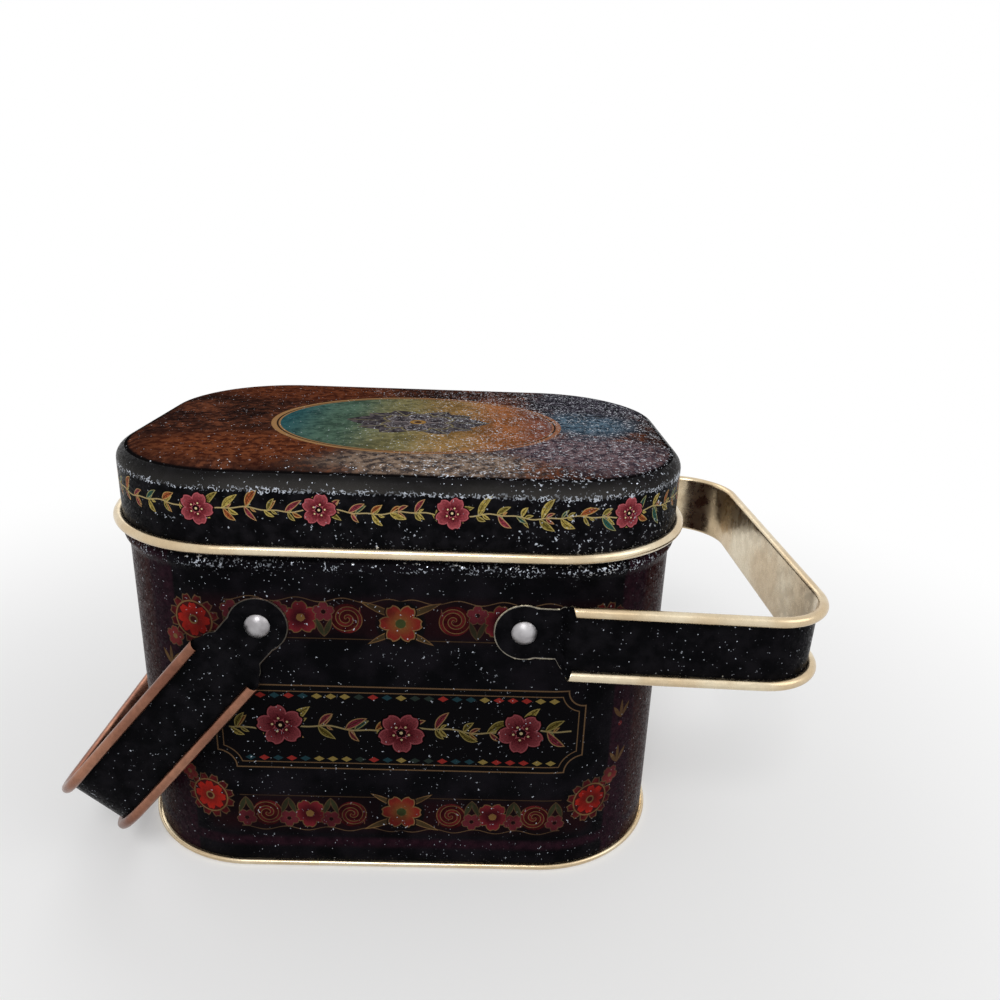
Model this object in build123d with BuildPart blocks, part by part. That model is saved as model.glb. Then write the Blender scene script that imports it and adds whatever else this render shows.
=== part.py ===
"""Small lidded keepsake tin with two swinging strap handles.

A wrapped tinplate wall is hemmed to a recessed bottom panel. A drawn lid slips over its curled
rim, down to a stop bead rolled into the wall. Each U-shaped strap handle turns on two rivets,
one through the front face and one through the back.

Frame: millimetres, +X to the right, +Y to the back, +Z up. The origin is the middle of the
tin's footprint, on the surface it stands on.
"""

import os
from math import acos, atan2, cos, degrees, hypot, radians, sin, sqrt

from build123d import *

# ---------------------------------------------------------------- driving dimensions
sheet = 0.35  # tinplate, the same gauge for every formed piece

body_length = 127.8  # outside of the wall, along X
body_width = 90.0  # outside of the wall, along Y
corner_radius = 29.5  # outside of the wall, seen from above

hem_height = 1.3  # pressed fold that the tin stands on
hem_proud = 1.11  # outside of the fold, from the wall's face
hem_fit = 0.02  # between the fold and the wall that it grips
floor_height = 3.0  # inside face of the recessed bottom
panel_fit = 0.02  # between the bottom panel and the wall that it plugs

stop_bead_height = 77.9  # crest of the bead that stops the lid
stop_bead_proud = 1.1
stop_bead_below = 3.0  # run of the bead under its crest
stop_bead_above = 2.0  # run of the bead over its crest
stop_bead_crest = 0.8  # height of the crest's flat
rim_curl = 2.2  # diameter of the rim, rolled inwards
curl_sides = 6  # sides of a rolled edge, an even number so that a flat lies in the sheet's face

seam_width = 3.4  # locked side seam, up the middle of the back
seam_layers = 2  # folds of sheet that stand inside the wall
seam_groove = 0.3  # width of the line that the lock leaves outside
seam_groove_depth = 0.15

lid_top = 98.4  # top face, above the surface the tin stands on
lid_skirt_bottom = 80.05
lid_clearance = 0.6  # between the wall and the skirt, all round
lid_curl = 2.3  # diameter of the skirt's edge, rolled outwards
shoulder_radius = 3.0
shoulder_sides = 2  # flats that the shoulder is formed as
crown_radius = 18.8  # soft roll between the flat top and the shoulder
crown_sides = 1  # flats that the crown is formed as
crown_angle = 20.6  # slope where the crown meets the shoulder
rim_gap = 0.5  # between the closed lid's shoulder arc and the rim's roll, before their flats

pivot_x = 28.5  # rivets, from the middle of the tin
pivot_height = 63.4
strap_width = 17.9  # over the rolled edges
strap_curl = 2.4  # diameter of the rolled edges
strap_reach = 66.0  # pivot to the outside of the crossbar's sheet
strap_bend = 14.0  # outside of the strap's corners
strap_clearance = 0.35  # between the strap and the lid's curl
boss_radius = 6.6  # round end of the strap, at the rivet
neck_width = 12.2  # the strap beside its boss
jog_start = 7.5  # from the pivot: where the sheet bends outwards
jog_end = 9.6  # and where the rolled edges start
jog_bend = 0.9  # bends of the jog, at mid sheet
flare_bend = 1.2  # corners of the outline where the neck widens

shank_diameter = 3.4
head_diameter = 5.8
head_height = 1.6
head_flat = 2.8  # diameter of the head's level top
tail_diameter = 5.0
tail_height = 0.8
boss_gap = 0.05  # between the wall, the boss and the rivet's head
hinge_clearance = 0.05  # radial, between the shank and the strap
rivet_fit = 0.02  # radial, between the shank and the wall

right_angle = -1.5  # right handle at rest, above the level
wall_gap = 0.3  # between a lowered handle and the end of the tin
meet_gap = 0.15  # between a raised handle and the middle of the tin

# ---------------------------------------------------------------- sizes that follow
mid = sheet / 2
half_length = body_length / 2
half_width = body_width / 2
roll_corner = 1 / cos(radians(180 / curl_sides))  # a roll's corners, as a share of its radius

# The lid's section, outside faces. Distances marked "out" are measured outwards from the wall.
skirt_out = lid_clearance + sheet
shoulder_in = shoulder_radius * (1 - sin(radians(crown_angle)))
crown_in = crown_radius * sin(radians(crown_angle))
crown_drop = crown_radius * (1 - cos(radians(crown_angle)))
shoulder_rise = shoulder_radius * cos(radians(crown_angle))
shoulder_centre_z = lid_top - crown_drop - shoulder_rise
flat_out = skirt_out - shoulder_in - crown_in
lid_curl_out = lid_clearance + lid_curl

# The rim nests inside the shoulder, one gap away from it.
rim_centre_out = -rim_curl / 2
rim_sideways = rim_centre_out - (skirt_out - shoulder_radius)
rim_room = shoulder_radius - sheet - rim_gap - rim_curl / 2
rim_centre_z = shoulder_centre_z + sqrt(rim_room**2 - rim_sideways**2)
rim_top = rim_centre_z + roll_corner * rim_curl / 2

# The strap's inside face runs just clear of the lid's curl.
strap_inside = half_width + lid_curl_out + strap_clearance
boss_inside = half_width + boss_gap
bead_corner = roll_corner * strap_curl / 2
bead_middle = strap_width / 2 - bead_corner
bead_reach = strap_reach - sheet + strap_curl / 2

# A lowered handle rests its rolled edge on the end wall, and two raised ones meet edge to edge.
bead_arm = hypot(bead_reach, bead_middle)
bead_lag = degrees(atan2(bead_middle, bead_reach))
lowered_angle = -(degrees(acos((half_length + wall_gap + bead_corner - pivot_x) / bead_arm)) - bead_lag)
raised_angle = degrees(acos((meet_gap + bead_corner - pivot_x) / bead_arm)) - bead_lag


# ---------------------------------------------------------------- helpers
def wall_outline():
    """Outside of the wall seen from above, as a closed route with a joint at the back's middle."""
    x = half_length
    y = half_width
    with BuildLine() as outline:
        FilletPolyline((0, y), (x, y), (x, -y), (0, -y), radius=corner_radius)
        mirror(about=Plane.YZ)
    return outline.line


def section_plane():
    """Plane across the wall at the back's middle: x is outwards from the wall, y is up."""
    return Plane(origin=(0, half_width, 0), x_dir=(0, 1, 0), z_dir=(1, 0, 0))


def arc_points(centre, radius, start, turn, sides):
    """Points along an arc that is formed as equal flats, with its angles in degrees."""
    angles = [radians(start + turn * i / sides) for i in range(sides + 1)]
    return [(centre[0] + radius * cos(a), centre[1] + radius * sin(a)) for a in angles]


def rolled_edge(centre, diameter):
    """A closed roll, with a flat in the face of the sheet that it is rolled from."""
    with Locations(centre):
        RegularPolygon(diameter / 2, curl_sides, major_radius=False, rotation=180 / curl_sides)


def in_frame(frame, plane):
    """A plane given in a handle's own frame, as a plane of the model."""
    return Plane(frame.location * plane.location)


def write(part, name):
    part.label = name
    export_step(part, f"parts/{name}.step")


# ---------------------------------------------------------------- body wall
def make_body_wall():
    outline = wall_outline()
    bead_bottom = stop_bead_height - stop_bead_below
    bead_top = stop_bead_height + stop_bead_above
    crest_out = stop_bead_proud - mid
    with BuildPart() as wall:
        with BuildSketch(section_plane()):
            with BuildLine():
                Polyline(
                    (-mid, sheet),
                    (-mid, bead_bottom),
                    (crest_out, stop_bead_height - stop_bead_crest / 2),
                    (crest_out, stop_bead_height + stop_bead_crest / 2),
                    (-mid, bead_top),
                    (-mid, rim_centre_z),
                )
            trace(line_width=sheet)
            rolled_edge((rim_centre_out, rim_centre_z), rim_curl)
        sweep(path=outline)

        # Side seam: folded inside the wall, and a fine line outside.
        seam_bottom = floor_height + sheet
        seam_top = rim_centre_z - roll_corner * rim_curl / 2 - sheet
        with BuildSketch(Plane.XY.offset(seam_bottom)):
            with Locations((0, half_width - sheet - seam_layers * mid)):
                Rectangle(seam_width, seam_layers * sheet)
        extrude(amount=seam_top - seam_bottom)
        with BuildSketch(Plane.XY.offset(hem_height)):
            with Locations((seam_width / 2, half_width)):
                Rectangle(seam_groove, 2 * seam_groove_depth)
        extrude(amount=bead_bottom - hem_height, mode=Mode.SUBTRACT)

        # Rivet holes, through both faces.
        with BuildSketch(Plane.XZ):
            with Locations((pivot_x, pivot_height), (-pivot_x, pivot_height)):
                Circle(shank_diameter / 2 + rivet_fit)
        extrude(amount=half_width + sheet, both=True, mode=Mode.SUBTRACT)
    return wall.part


# ---------------------------------------------------------------- bottom panel
def make_bottom_panel():
    outline = wall_outline()
    chuck_out = -sheet - panel_fit - mid
    with BuildPart() as panel:
        with BuildSketch(section_plane()):
            with BuildLine():
                Polyline((chuck_out, floor_height), (chuck_out, mid), (hem_proud, mid))
            trace(line_width=sheet)
            with Locations((hem_fit, 0)):
                Rectangle(hem_proud - hem_fit, hem_height, align=(Align.MIN, Align.MIN))
        sweep(path=outline)
        inset = chuck_out + mid
        with BuildSketch(Plane.XY.offset(floor_height - sheet)):
            RectangleRounded(
                2 * (half_length + inset), 2 * (half_width + inset), corner_radius + inset
            )
        extrude(amount=sheet)
    return panel.part


# ---------------------------------------------------------------- lid
def make_lid():
    outline = wall_outline()
    skirt_mid = lid_clearance + mid
    curl_centre = (lid_clearance + lid_curl / 2, lid_skirt_bottom + roll_corner * lid_curl / 2)
    shoulder_centre = (skirt_out - shoulder_radius, shoulder_centre_z)
    crown_centre = (flat_out, lid_top - crown_radius)
    with BuildPart() as lid:
        with BuildSketch(section_plane()):
            with BuildLine():
                Polyline(
                    (skirt_mid, curl_centre[1]),
                    *arc_points(
                        shoulder_centre, shoulder_radius - mid, 0, 90 - crown_angle, shoulder_sides
                    ),
                    *arc_points(
                        crown_centre, crown_radius - mid, 90 - crown_angle, crown_angle, crown_sides
                    )[1:],
                    (flat_out - sheet, lid_top - mid),
                )
            trace(line_width=sheet)
            rolled_edge(curl_centre, lid_curl)
        sweep(path=outline)
        with BuildSketch(Plane.XY.offset(lid_top - sheet)):
            RectangleRounded(
                2 * (half_length + flat_out), 2 * (half_width + flat_out), corner_radius + flat_out
            )
        extrude(amount=sheet)
    return lid.part


# ---------------------------------------------------------------- strap handles
def handle_frame(side, angle):
    """Frame of a handle: x along its legs, y along its rivets, z across its width."""
    along = (side * cos(radians(angle)), 0, sin(radians(angle)))
    across = (-side * sin(radians(angle)), 0, cos(radians(angle)))
    return Plane(origin=(side * pivot_x, 0, pivot_height), x_dir=along, z_dir=across)


def make_handle(frame):
    strap_mid = strap_inside + mid
    boss_mid = boss_inside + mid
    join = jog_end + jog_bend
    bend_inside = strap_bend - sheet
    with BuildPart() as handle:
        # Tongues: flat at the boss, then jogged out to the plane of the strap.
        with BuildSketch(in_frame(frame, Plane.XY.offset(-strap_width / 2))) as jogs:
            with BuildLine():
                FilletPolyline(
                    (-boss_radius, -boss_mid),
                    (jog_start, -boss_mid),
                    (jog_end, -strap_mid),
                    (join, -strap_mid),
                    radius=[jog_bend, jog_bend * 0.5],
                )
            trace(line_width=sheet)
            mirror(about=Plane.XZ)
        extrude(amount=strap_width)
        with BuildSketch(in_frame(frame, Plane.XZ)) as outline:
            Circle(boss_radius)
            with Locations((join / 2, 0)):
                Rectangle(join, neck_width)
            with BuildLine():
                Polyline(
                    (jog_start - flare_bend, neck_width / 2),
                    (jog_end, bead_middle + mid),
                    (join, bead_middle + mid),
                    (join, -bead_middle - mid),
                    (jog_end, -bead_middle - mid),
                    (jog_start - flare_bend, -neck_width / 2),
                    close=True,
                )
            make_face()
        extrude(amount=strap_inside + strap_curl, both=True, mode=Mode.INTERSECT)

        # Strap: one strip with both edges rolled outwards, bent to a U.
        with BuildSketch(
            in_frame(frame, Plane(origin=(jog_end, -strap_inside, 0), x_dir=(0, -1, 0), z_dir=(1, 0, 0)))
        ):
            with Locations((mid, 0)):
                Rectangle(sheet, 2 * bead_middle)
            rolled_edge((strap_curl / 2, bead_middle), strap_curl)
            rolled_edge((strap_curl / 2, -bead_middle), strap_curl)
        reach_inside = strap_reach - sheet
        with BuildLine(in_frame(frame, Plane.XY)) as route:
            FilletPolyline(
                (jog_end, -strap_inside),
                (reach_inside, -strap_inside),
                (reach_inside, strap_inside),
                (jog_end, strap_inside),
                radius=bend_inside,
            )
        sweep(path=route.line)

        # Rivet holes.
        with BuildSketch(in_frame(frame, Plane.XZ)):
            Circle(shank_diameter / 2 + hinge_clearance)
        extrude(amount=strap_inside, both=True, mode=Mode.SUBTRACT)
    return handle.part


# ---------------------------------------------------------------- rivets
def make_rivets(x_side):
    """A handle's two domed rivets, drawn with x as their radius and y outwards from the wall."""
    head_base = boss_gap + sheet + boss_gap
    head_top = head_base + head_height
    head_radius = head_diameter / 2
    shank_radius = shank_diameter / 2
    tail_radius = tail_diameter / 2
    with BuildPart() as rivets:
        for y_side in (-1, 1):
            plane = Plane(
                origin=(x_side * pivot_x, y_side * half_width, pivot_height),
                x_dir=(y_side, 0, 0),
                z_dir=(0, 0, 1),
            )
            with BuildSketch(plane):
                with BuildLine():
                    Polyline(
                        (0, -sheet - tail_height),
                        (tail_radius, -sheet - tail_height),
                        (tail_radius, -sheet),
                        (shank_radius, -sheet),
                        (shank_radius, head_base),
                        (head_radius, head_base),
                        (head_flat / 2, head_top),
                        (0, head_top),
                        close=True,
                    )
                make_face()
            revolve(axis=Axis(plane.origin, plane.y_dir))
    return rivets.part


# ---------------------------------------------------------------- build and write
os.makedirs("parts", exist_ok=True)
write(make_body_wall(), "body_wall")
write(make_bottom_panel(), "bottom_panel")
write(make_lid(), "lid")
write(make_handle(handle_frame(1, right_angle)), "handle_right")
write(make_handle(handle_frame(-1, lowered_angle)), "handle_left")
write(make_rivets(1), "rivets_right")
write(make_rivets(-1), "rivets_left")

print(f"rim top {rim_top:.2f}, lid flat {flat_out:.2f}")
print(f"lowered {lowered_angle:.2f}, raised {raised_angle:.2f}")
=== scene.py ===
"""Looks of the lidded tin: smooth rolled sheet, printed lacquer, gold lacquer and a darker, coppery copy of
it in painted shade, aluminium rivets.

Each sheet follows a line through the middle of its gauge, in millimetres as in the CAD. The print is made
of shader nodes: a motif is a distance in millimetres, and it is painted where that distance is under zero.
"""

from math import acos, atan2, cos, degrees, hypot, pi, radians, sin, sqrt, tau

import bmesh
import bpy
from mathutils import Matrix, Vector


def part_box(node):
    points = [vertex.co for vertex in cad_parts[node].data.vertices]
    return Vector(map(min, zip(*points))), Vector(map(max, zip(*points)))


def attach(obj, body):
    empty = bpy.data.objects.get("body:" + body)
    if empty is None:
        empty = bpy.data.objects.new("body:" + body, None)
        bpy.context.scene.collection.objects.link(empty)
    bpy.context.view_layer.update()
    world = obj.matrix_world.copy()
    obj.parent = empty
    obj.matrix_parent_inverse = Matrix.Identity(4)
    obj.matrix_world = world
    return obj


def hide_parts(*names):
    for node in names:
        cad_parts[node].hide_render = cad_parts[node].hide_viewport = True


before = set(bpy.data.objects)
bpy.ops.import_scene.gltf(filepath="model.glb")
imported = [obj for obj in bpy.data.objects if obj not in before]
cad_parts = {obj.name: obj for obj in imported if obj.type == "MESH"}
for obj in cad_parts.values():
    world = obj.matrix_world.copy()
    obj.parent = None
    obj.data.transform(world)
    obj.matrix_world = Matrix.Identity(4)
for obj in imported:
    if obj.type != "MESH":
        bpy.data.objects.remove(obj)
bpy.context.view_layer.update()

# ---------- sizes, in millimetres as in the CAD
MM = 0.001
SHEET = 0.35
MID = SHEET / 2
HALF_LENGTH = 63.9
HALF_WIDTH = 45.0
CORNER = 29.5
HEM_HEIGHT = 1.3
HEM_PROUD = 1.11
FLOOR_HEIGHT = 3.0
PANEL_FIT = 0.02
STOP_BEAD_HEIGHT = 77.9
STOP_BEAD_PROUD = 1.1
STOP_BEAD_BELOW = 3.0
STOP_BEAD_ABOVE = 2.0
RIM_CURL = 2.2
ROLL_CORNER = 1 / cos(pi / 6)  # corner of the CAD's six-sided rolls, as a share of their radius
RIM_CENTRE_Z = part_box("body_wall")[1][2] / MM - ROLL_CORNER * RIM_CURL / 2
SEAM_WIDTH = 3.4
SEAM_LAYERS = 2
GROOVE_WIDTH = 0.3
GROOVE_DEPTH = 0.15
LID_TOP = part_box("lid")[1][2] / MM
SKIRT_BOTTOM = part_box("lid")[0][2] / MM
LID_CLEARANCE = 0.6
LID_CURL = 2.3
SHOULDER_RADIUS = 3.0
CROWN_RADIUS = 18.8
CROWN_ANGLE = 20.6
PIVOT_X = 28.5
PIVOT_HEIGHT = 63.4
STRAP_WIDTH = 17.9
STRAP_CURL = 2.4
STRAP_REACH = 66.0
STRAP_BEND = 14.0
STRAP_CLEARANCE = 0.35
BOSS_GAP = 0.05
BOSS_RADIUS = 6.6
NECK_WIDTH = 12.2
JOG_START = 7.5
JOG_END = 9.6
HOLE_RADIUS = 1.75
HEAD_RADIUS = 2.9
HEAD_HEIGHT = 1.6
SHANK_RADIUS = 1.7
TAIL_RADIUS = 2.5
TAIL_HEIGHT = 0.8
RIGHT_ANGLE = -1.5  # degrees, right handle above the level
WALL_GAP = 0.3  # between a lowered handle's roll and the end wall

# Sizes of the smooth sheet alone
ROLL_TURN = 310.0  # degrees that a rolled edge turns through
HEM_BEND = 0.5  # of the wall's foot
WALL_MARGIN = 1.0  # wall kept straight over the hem and under the bead
PANEL_MARGIN = 6.0  # ring round the bottom's floor
PANEL_BENDS = (0.7, 0.5, 0.42, 0.42)  # from the floor to the hem's upper edge
HEM_NIP = 0.05  # between the hem's upper edge and the wall's face
SEAM_BEND = 0.25
SKIRT_MARGIN = 1.0  # skirt kept straight under the shoulder
TOP_MARGIN = 3.0  # ring round the lid's flat
NECK_END = 7.0  # from the pivot: where a tongue starts to widen
JOG_EASE = 0.45  # run of the jog's bends past its ends
ROLL_EASE = 1.0  # run before the jog's end where a roll starts to close
ROLL_EASE_AFTER = 1.5  # run after it until the roll is closed, as a share
EDGE_BEVEL = 0.12  # worn corner of a strap's cut edge
HEAD_UNDERCUT = 0.25  # of a rivet's head, inwards from its rim
HEAD_BEND = 0.12
TAIL_BENDS = (0.1, 0.35)

# Facets, and other settings of the meshes
CORNER_STEPS = 28  # round a corner
CURL_STEPS = 28  # round a roll
SHOULDER_STEPS = 10
CROWN_STEPS = 8
STRIP_STEPS = 6  # from a strap's middle to its roll
TONGUE_STEPS = 24  # along a tongue
ROLL_STEPS = 12  # where a strap's rolls close
BEND_STEPS = 20  # round a strap's corner
RIVET_STEPS = 40
DOME_STEPS = 12
RIVET_BEND_STEPS = 4
WELD = 1e-6  # metres
SHEET_SHARP = 35.0  # degrees over which an edge looks sharp
RIVET_SHARP = 50.0
INNER_SLOT, EDGE_SLOT, TOP_SLOT = 1, 2, 3  # materials of a sheet's inner side, its cut edges, the lid's top
PRINT_MAP = "print"  # map of millimetres along the sheet and across it

# Sizes that follow
GIRTH = 4 * (HALF_LENGTH + HALF_WIDTH - 2 * CORNER) + tau * CORNER
SKIRT_OUT = LID_CLEARANCE + SHEET
CROWN_TILT = radians(CROWN_ANGLE)
SHOULDER_Z = LID_TOP - CROWN_RADIUS * (1 - cos(CROWN_TILT)) - SHOULDER_RADIUS * cos(CROWN_TILT)
SHOULDER_OUT = SKIRT_OUT - SHOULDER_RADIUS
FLAT_OUT = SHOULDER_OUT - (CROWN_RADIUS - SHOULDER_RADIUS) * sin(CROWN_TILT)
STRAP_INSIDE = HALF_WIDTH + LID_CLEARANCE + LID_CURL + STRAP_CLEARANCE
BEAD_MIDDLE = (STRAP_WIDTH - ROLL_CORNER * STRAP_CURL) / 2
BEAD_RADIUS = STRAP_CURL / 2 - MID
BEAD_REACH = STRAP_REACH - SHEET + STRAP_CURL / 2
TONGUE_END = JOG_END - ROLL_EASE
NECK_START = sqrt(BOSS_RADIUS**2 - NECK_WIDTH**2 / 4)  # from the pivot: where its round end passes into it
LOWERED_ANGLE = -degrees(
    acos((HALF_LENGTH + WALL_GAP + ROLL_CORNER * STRAP_CURL / 2 - PIVOT_X) / hypot(BEAD_REACH, BEAD_MIDDLE))
    - atan2(BEAD_MIDDLE, BEAD_REACH)
)

# Camera, from the photo's perspective
FRAME_PIXELS = 1000
FOCAL_PIXELS = 810.5
SENSOR = 36.0
CAMERA_PLACE = (18.50, -200.37, 147.08)
CAMERA_RIGHT = (0.9993, -0.0115, 0.0361)  # directions, as shares
CAMERA_BACK = (-0.0227, -0.9448, 0.3270)

# Stage and lights, in metres and watts
FLOOR_SIZE = 3.0
FLOOR_DROP = 0.0002  # under the part
LAMP_TARGET = (0, 0, 0.05)
LAMPS = (
    ("key", (-0.12, -0.8, 0.95), 0.4, 4.2),  # name, place, diameter, power
    ("fill", (0.9, -0.4, 0.7), 0.8, 2.0),
    ("back", (-0.4, 0.9, 0.9), 0.8, 2.0),
)
WORLD_LIGHT = 0.55  # strength of the world as a light


# ---------- meshes: sheet swept and thickened
def arc(centre, radius, start, turn, steps=CURL_STEPS):
    """Points along an arc, with its angles in degrees."""
    angles = [radians(start + turn * i / steps) for i in range(steps + 1)]
    return [(centre[0] + radius * cos(a), centre[1] + radius * sin(a)) for a in angles]


def ease(t):
    """0 to 1, level at both ends."""
    t = min(max(t, 0), 1)
    return (1 - cos(pi * t)) / 2


def side_step(start, end, steps=10):
    """Points of a smooth sideways step between two upright runs."""
    return [
        (start[0] + (end[0] - start[0]) * ease(i / steps), start[1] + (end[1] - start[1]) * i / steps)
        for i in range(steps + 1)
    ]


def rounded(points, radii, steps=6):
    """A line of points with each inner corner rounded by its radius."""
    line = [points[0]]
    for before, corner, after, radius in zip(points, points[1:], points[2:], radii):
        b = Vector(corner)
        towards, away = (Vector(before) - b).normalized(), (Vector(after) - b).normalized()
        half = towards.angle(away) / 2
        middle = b + (towards + away).normalized() * radius / sin(half)
        first = b + towards * radius * cos(half) / sin(half) - middle
        last = b + away * radius * cos(half) / sin(half) - middle
        sweep = first.angle(last)
        for i in range(steps + 1):
            t = i / steps
            line.append(tuple(middle + (first * sin((1 - t) * sweep) + last * sin(t * sweep)) / sin(sweep)))
    return line + [points[-1]]


def wall_stations():
    """Places round the wall from the back's middle: x, y, outward normal's x and y, run, groove's depth."""
    straight_x, straight_y = HALF_LENGTH - CORNER, HALF_WIDTH - CORNER
    stations = [(0, HALF_WIDTH, 0, 1, 0, 0)]
    for share, depth in ((-1.4, 0), (-0.6, 1), (0.6, 1), (1.4, 0)):
        along = SEAM_WIDTH / 2 + share * GROOVE_WIDTH / 2
        stations.append((along, HALF_WIDTH, 0, 1, along, depth * GROOVE_DEPTH))
    run = straight_x
    corners = (
        (1, 1, 90, 2 * straight_y),  # sides in x and y, first angle, straight run after it
        (1, -1, 0, 2 * straight_x),
        (-1, -1, -90, 2 * straight_y),
        (-1, 1, -180, 0),
    )
    for x_side, y_side, start, straight in corners:
        for i in range(CORNER_STEPS + 1):
            angle = radians(start - 90 * i / CORNER_STEPS)
            x = x_side * straight_x + CORNER * cos(angle)
            y = y_side * straight_y + CORNER * sin(angle)
            stations.append((x, y, cos(angle), sin(angle), run + CORNER * pi / 2 * i / CORNER_STEPS, 0))
        run += CORNER * pi / 2 + straight
    return stations


def grid(bm, rows, marks, closed=False, slots=None):
    """Faces between rows of points. marks are their print coordinates, and slots the columns' materials."""
    uv = bm.loops.layers.uv.verify()
    made = [[bm.verts.new([c * MM for c in point]) for point in row] for row in rows]
    for j in range(len(made) - (0 if closed else 1)):
        following = (j + 1) % len(made)
        for i in range(len(made[j]) - 1):
            corners = ((j, i), (following, i), (following, i + 1), (j, i + 1))
            face = bm.faces.new([made[a][b] for a, b in corners])
            if slots:
                face.material_index = slots[i]
            for loop, (a, b) in zip(face.loops, corners):
                along, across = marks[a][b]
                if closed and following == 0 and a == 0:
                    along += GIRTH
                loop[uv].uv = (along, across)
    return made


def sweep_round(bm, line, slots=None, grooved=None, fill=False):
    """Sweeps a line of (out, z) points round the wall. fill closes the loop of its first point."""
    rows, marks = [], []
    for x, y, nx, ny, run, depth in wall_stations():
        cuts = [depth if grooved and grooved[0] < z < grooved[1] and out < 0 else 0 for out, z in line]
        rows.append([(x + nx * (out - cut), y + ny * (out - cut), z) for (out, z), cut in zip(line, cuts)])
        marks.append([(run, z) for _, z in line])
    made = grid(bm, rows, marks, closed=True, slots=slots)
    if fill:
        bm.faces.new([row[0] for row in made][::-1])


def thicken(bm, edge_slot=EDGE_SLOT, bevel=0.0):
    """Gives a surface its gauge, half to each side, and closes its cut edges."""
    bmesh.ops.remove_doubles(bm, verts=bm.verts, dist=WELD)
    bm.normal_update()
    uv = bm.loops.layers.uv.verify()
    outer_faces = list(bm.faces)
    borders = [edge for edge in bm.edges if edge.is_boundary]
    border_runs = [(edge.link_loops[0].vert, edge.link_loops[0].link_loop_next.vert) for edge in borders]
    inner = {}
    for vert in list(bm.verts):
        inner[vert] = bm.verts.new(vert.co - vert.normal * SHEET / 2 * MM)
        vert.co += vert.normal * SHEET / 2 * MM
    for face in outer_faces:
        back = bm.faces.new([inner[loop.vert] for loop in reversed(face.loops)])
        back.material_index = INNER_SLOT
        places = {inner[loop.vert]: loop[uv].uv.copy() for loop in face.loops}
        for loop in back.loops:
            loop[uv].uv = places[loop.vert]
    for a, b in border_runs:
        face = bm.faces.new((b, a, inner[a], inner[b]))
        face.material_index = edge_slot
    if bevel:
        worn = [bm.edges.get(run) for run in border_runs]
        bmesh.ops.bevel(
            bm, geom=worn, offset=bevel * MM, segments=1, profile=0.5, affect="EDGES", material=edge_slot
        )


def prism(bm, line, low, high, slot):
    """A closed upright prism over a line of (x, y) points."""
    bottom = [bm.verts.new((x * MM, y * MM, low * MM)) for x, y in line]
    top = [bm.verts.new((x * MM, y * MM, high * MM)) for x, y in line]
    faces = [bm.faces.new(bottom[::-1]), bm.faces.new(top)]
    for i in range(len(line)):
        k = (i + 1) % len(line)
        faces.append(bm.faces.new((bottom[i], bottom[k], top[k], top[i])))
    for face in faces:
        face.material_index = slot


def add_object(name, data):
    made = bpy.data.objects.new(name, data)
    bpy.context.collection.objects.link(made)
    return made


def add_mesh(name, bm):
    mesh = bpy.data.meshes.new(name)
    bm.to_mesh(mesh)
    bm.free()
    return add_object(name, mesh)


def piece_from(bm, name, materials, body, node_name, sharp=SHEET_SHARP):
    """Makes the finished mesh a piece that rides on a body in place of a CAD node."""
    piece = add_mesh(name, bm)
    mesh = piece.data
    mesh.uv_layers[0].name = PRINT_MAP
    for item in materials:
        mesh.materials.append(item)
    for polygon in mesh.polygons:
        polygon.use_smooth = True
    mesh.set_sharp_from_angle(angle=radians(sharp))
    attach(piece, body)
    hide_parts(node_name)


# ---------- body wall
def make_wall(materials):
    """The wall from its foot in the hem to the rolled rim, with the seam's lock inside."""
    foot = (HEM_PROUD - SHEET, SHEET + MID)
    crest = (STOP_BEAD_PROUD - MID, STOP_BEAD_HEIGHT)
    bead_start = STOP_BEAD_HEIGHT - STOP_BEAD_BELOW
    line = rounded([foot, (-MID, SHEET + MID), (-MID, HEM_HEIGHT + WALL_MARGIN)], [HEM_BEND])
    line.append((-MID, bead_start - WALL_MARGIN))
    line += side_step((-MID, bead_start), crest)
    line += side_step(crest, (-MID, STOP_BEAD_HEIGHT + STOP_BEAD_ABOVE))[1:]
    line += arc((-RIM_CURL / 2, RIM_CENTRE_Z), RIM_CURL / 2 - MID, 0, ROLL_TURN)
    bm = bmesh.new()
    sweep_round(bm, line[::-1], grooved=(HEM_HEIGHT, bead_start - WALL_MARGIN / 2))
    thicken(bm)
    back = HALF_WIDTH - SHEET
    half, deep = SEAM_WIDTH / 2, SEAM_LAYERS * SHEET
    corners = [(half, back), (half, back - deep), (-half, back - deep), (-half, back)]
    lock = rounded(corners, [SEAM_BEND, SEAM_BEND])
    prism(bm, lock, FLOOR_HEIGHT + SHEET, RIM_CENTRE_Z - RIM_CURL / 2 - SHEET, INNER_SLOT)
    piece_from(bm, "printed_wall", materials, "tin", "body_wall")


# ---------- bottom panel
def make_bottom(materials):
    """The recessed floor and its hem, folded up round the wall's foot."""
    upright = -SHEET - PANEL_FIT - MID
    fold = HEM_PROUD - MID
    floor_mid = FLOOR_HEIGHT - MID
    corners = [
        (upright - PANEL_MARGIN, floor_mid), (upright, floor_mid), (upright, MID),
        (fold, MID), (fold, HEM_HEIGHT - MID), (HEM_NIP, HEM_HEIGHT - MID),
    ]
    bm = bmesh.new()
    sweep_round(bm, rounded(corners, PANEL_BENDS), fill=True)
    thicken(bm, edge_slot=INNER_SLOT)
    piece_from(bm, "bottom_panel_sheet", materials, "tin", "bottom_panel")


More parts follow.
